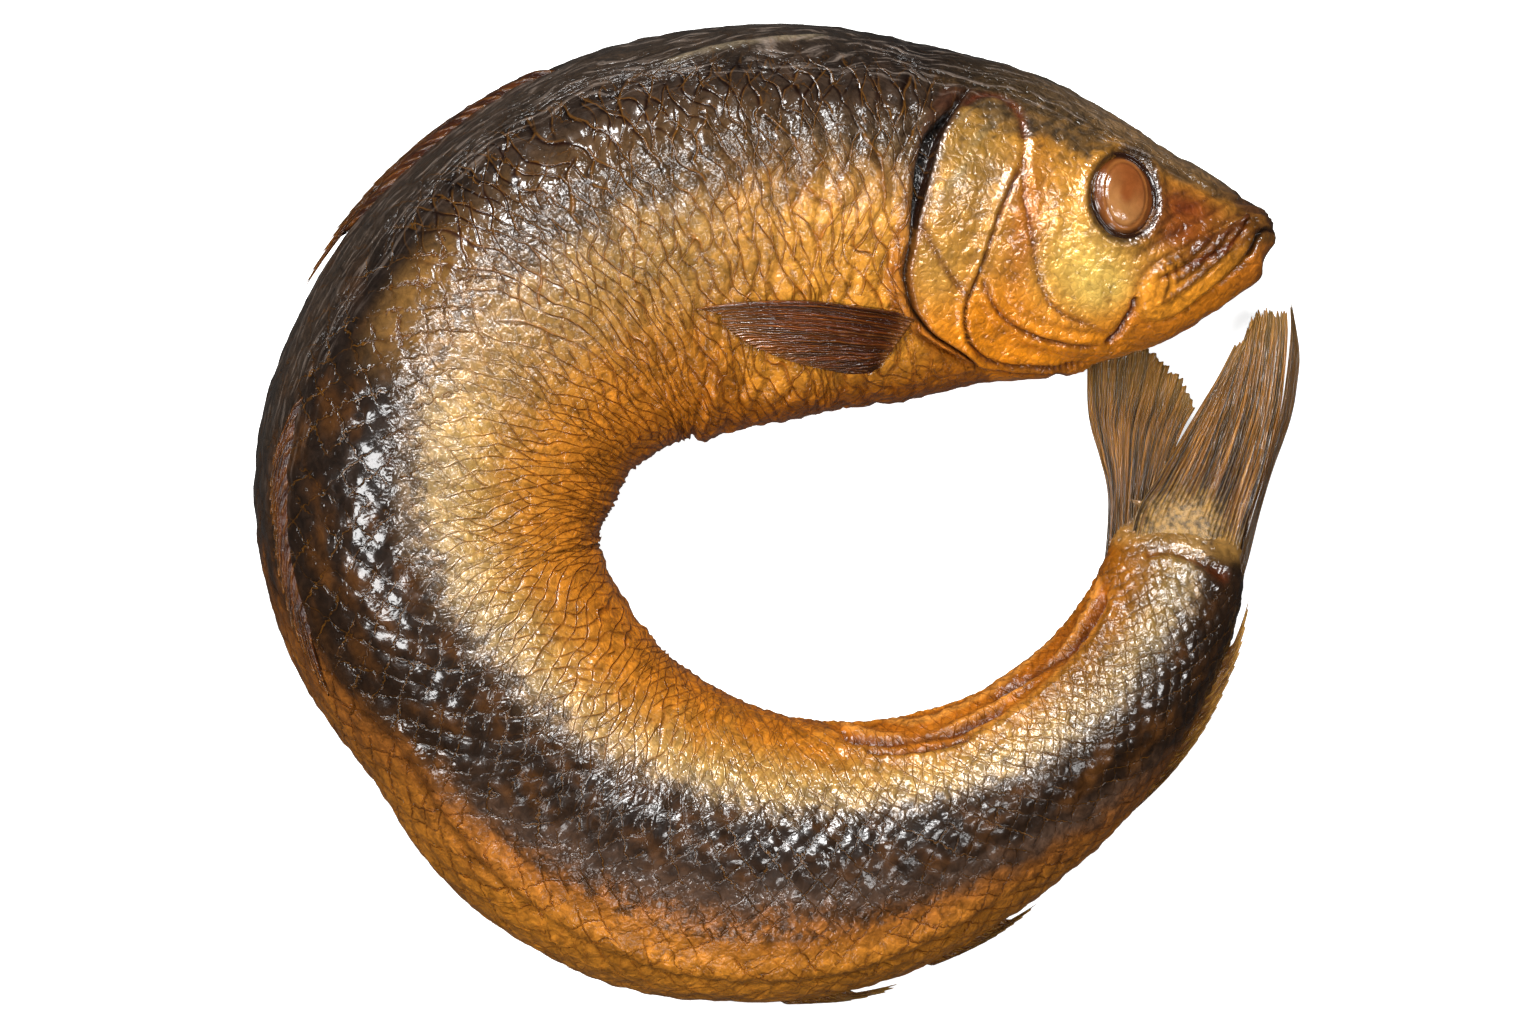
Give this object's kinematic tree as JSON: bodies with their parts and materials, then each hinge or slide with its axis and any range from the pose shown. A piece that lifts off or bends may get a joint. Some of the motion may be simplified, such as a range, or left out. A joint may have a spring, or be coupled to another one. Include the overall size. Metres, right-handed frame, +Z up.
{
  "type": "smoked fish",
  "caption": "Whole hot-smoked freshwater fish, curled nose over tail into a near-closed ring and lying on one flank.",
  "frame": {"origin": "Middle of the outline seen from above, on the surface that the fish lies on", "axes": "+Z up from the flank that it lies on; +X along the long side of the curl, towards the head; +Y towards the fish's back at the head"},
  "size_m": [0.162, 0.1522, 0.0436],
  "materials": {
    "skin": "glossy oily smoked skin, golden brown with a dark back",
    "fin": "thin dried translucent fin with rays, satin",
    "eye": "cloudy amber eye with a glossy surface"
  },
  "bodies": {
    "root": {"smoked_fish": "skin"}
  },
  "joints": []
}
